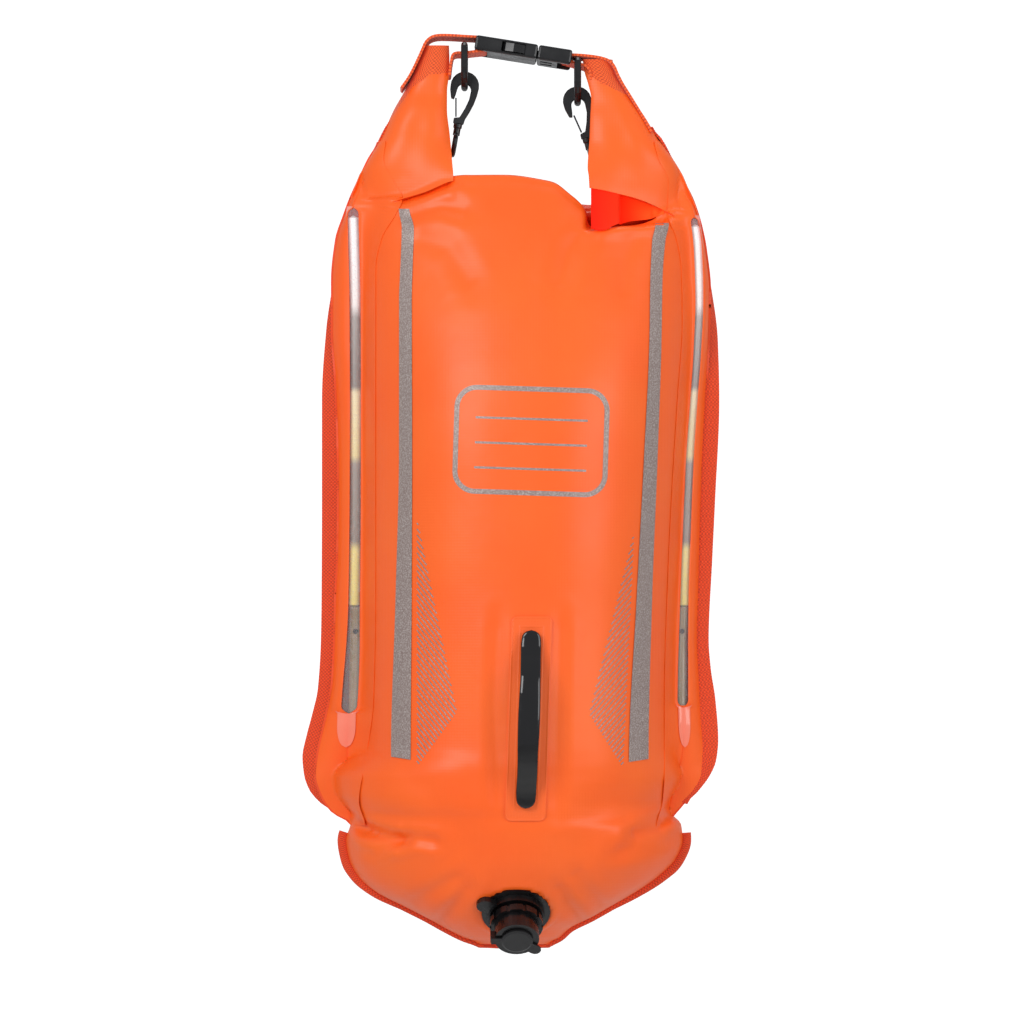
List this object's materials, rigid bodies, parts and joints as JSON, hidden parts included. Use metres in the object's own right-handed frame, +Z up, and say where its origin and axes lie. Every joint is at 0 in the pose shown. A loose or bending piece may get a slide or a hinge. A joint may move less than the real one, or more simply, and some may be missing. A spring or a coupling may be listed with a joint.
{
  "type": "open water swim buoy",
  "caption": "Inflatable open water swim buoy with roll-top dry compartment, grab handle, light tubes and clipped carry loop.",
  "frame": {"origin": "underside of the closed buckle, where a hook or hand carries the buoy", "axes": "+Z up along the hanging bag, front with the handle and valve towards -Y"},
  "size_m": [0.3125, 0.2162, 0.687],
  "materials": {
    "coated_fabric": "glossy coated",
    "webbing": "woven",
    "film": "clear film",
    "light_guide": "translucent",
    "black_plastic": "satin",
    "gloss_black": "glossy",
    "soft_rubber": "matte",
    "steel": "brushed"
  },
  "bodies": {
    "bag": {"front_chamber": "coated_fabric", "rear_chamber": "coated_fabric", "dry_liner": "coated_fabric", "rolled_top": "coated_fabric", "roll_end_left": "coated_fabric", "roll_end_right": "coated_fabric", "handle_patch": "coated_fabric", "edge_webbing_left": "webbing", "edge_webbing_right": "webbing", "bottom_binding": "webbing", "closure_webbing_left": "webbing", "tube_cap_left": "webbing", "tube_cap_right": "webbing", "sleeve_left": "film", "sleeve_right": "film", "light_tube_left": "light_guide", "light_tube_right": "light_guide", "lamp_module_left": "black_plastic", "lamp_module_right": "black_plastic", "lamp_cell_left": "steel", "lamp_cell_right": "steel", "grab_handle": "gloss_black", "valve_base": "black_plastic", "buckle_socket": "black_plastic"},
    "right_end": {"buckle_plug": "black_plastic", "closure_webbing_right": "webbing"},
    "front_prong": {"prong_front": "black_plastic"},
    "rear_prong": {"prong_rear": "black_plastic"},
    "left_ring": {"d_ring_left": "black_plastic"},
    "right_ring": {"d_ring_right": "black_plastic"},
    "left_hook": {"hook_body_left": "black_plastic"},
    "right_hook": {"hook_body_right": "black_plastic"},
    "left_gate": {"hook_gate_left": "black_plastic"},
    "right_gate": {"hook_gate_right": "black_plastic"},
    "left_eye": {"hook_eye_left": "black_plastic"},
    "right_eye": {"hook_eye_right": "black_plastic"},
    "seal": {"valve_seal": "soft_rubber"},
    "insert": {"valve_insert": "black_plastic", "valve_flap": "soft_rubber"},
    "stopper": {"valve_stopper": "soft_rubber"},
    "left_button": {"lamp_button_left": "soft_rubber"},
    "right_button": {"lamp_button_right": "soft_rubber"}
  },
  "joints": [
    {"name": "buckle_release", "type": "slide", "parent": "bag", "child": "right_end", "axis": [0.9877, 0, -0.1564], "range_m": [0, 0.036], "deforming": ["roll_end_right", "edge_webbing_right", "prong_front", "prong_rear"]},
    {"name": "front_prong_squeeze", "type": "hinge", "parent": "right_end", "child": "front_prong", "pos_m": [0.00993, -0.01598, 0.00514], "axis": [0.1561, 0.0698, 0.9853], "range_deg": [-14, 0], "stiffness_Nm_per_rad": 0.5},
    {"name": "rear_prong_squeeze", "type": "hinge", "parent": "right_end", "child": "rear_prong", "pos_m": [0.00957, 0.01674, 0.00288], "axis": [0.1561, 0.0698, 0.9853], "range_deg": [0, 14], "stiffness_Nm_per_rad": 0.5},
    {"name": "left_ring_swing", "type": "hinge", "parent": "bag", "child": "left_ring", "pos_m": [-0.0431, 0.00017, 0.00927], "axis": [0, 0.9976, -0.0698], "range_deg": [-22, 1.5]},
    {"name": "right_ring_swing", "type": "hinge", "parent": "right_end", "child": "right_ring", "pos_m": [0.04168, 0.00033, -0.00187], "axis": [0, 0.9976, -0.0698], "range_deg": [-1.5, 22]},
    {"name": "left_hook_swing", "type": "hinge", "parent": "left_ring", "child": "left_hook", "pos_m": [-0.0431, -0.00196, -0.02115], "axis": [0, 0.9976, -0.0698], "range_deg": [-18, 1.5]},
    {"name": "right_hook_swing", "type": "hinge", "parent": "right_ring", "child": "right_hook", "pos_m": [0.04168, -0.0018, -0.0323], "axis": [0, 0.9976, -0.0698], "range_deg": [-1.5, 18]},
    {"name": "left_gate_open", "type": "hinge", "parent": "left_hook", "child": "left_gate", "pos_m": [-0.04953, -0.00346, -0.04259], "axis": [0, 0.9976, -0.0698], "range_deg": [0, 20], "stiffness_Nm_per_rad": 0.05},
    {"name": "right_gate_open", "type": "hinge", "parent": "right_hook", "child": "right_gate", "pos_m": [0.04455, -0.00335, -0.05448], "axis": [0, 0.9976, -0.0698], "range_deg": [0, 20], "stiffness_Nm_per_rad": 0.05},
    {"name": "left_eye_swivel", "type": "hinge", "parent": "left_hook", "child": "left_eye", "pos_m": [-0.04788, -0.00385, -0.04817], "axis": [0.1736, 0.0687, 0.9824], "continuous": true},
    {"name": "right_eye_swivel", "type": "hinge", "parent": "right_hook", "child": "right_eye", "pos_m": [0.04834, -0.00366, -0.05892], "axis": [-0.2419, 0.0677, 0.9679], "continuous": true},
    {"name": "valve_lift", "type": "slide", "parent": "bag", "child": "seal", "axis": [0.0274, -0.6998, -0.7138], "range_m": [0, 0.006]},
    {"name": "valve_turn", "type": "hinge", "parent": "seal", "child": "insert", "pos_m": [-0.00456, -0.05748, -0.63587], "axis": [0.0274, -0.6998, -0.7138], "range_deg": [0, 720]},
    {"name": "stopper_open", "type": "hinge", "parent": "insert", "child": "stopper", "pos_m": [-0.02299, -0.07738, -0.65616], "axis": [0, 0.714, -0.7001], "range_deg": [0, 120]},
    {"name": "left_button_press", "type": "slide", "parent": "bag", "child": "left_button", "axis": [0, 1, 0], "range_m": [0, 0.0006], "stiffness_N_per_m": 300},
    {"name": "right_button_press", "type": "slide", "parent": "bag", "child": "right_button", "axis": [0, 1, 0], "range_m": [0, 0.0006], "stiffness_N_per_m": 300}
  ],
  "couplings": [
    {"joint": "valve_lift", "follows": "valve_turn", "m_per_rad": 0.000477}
  ]
}
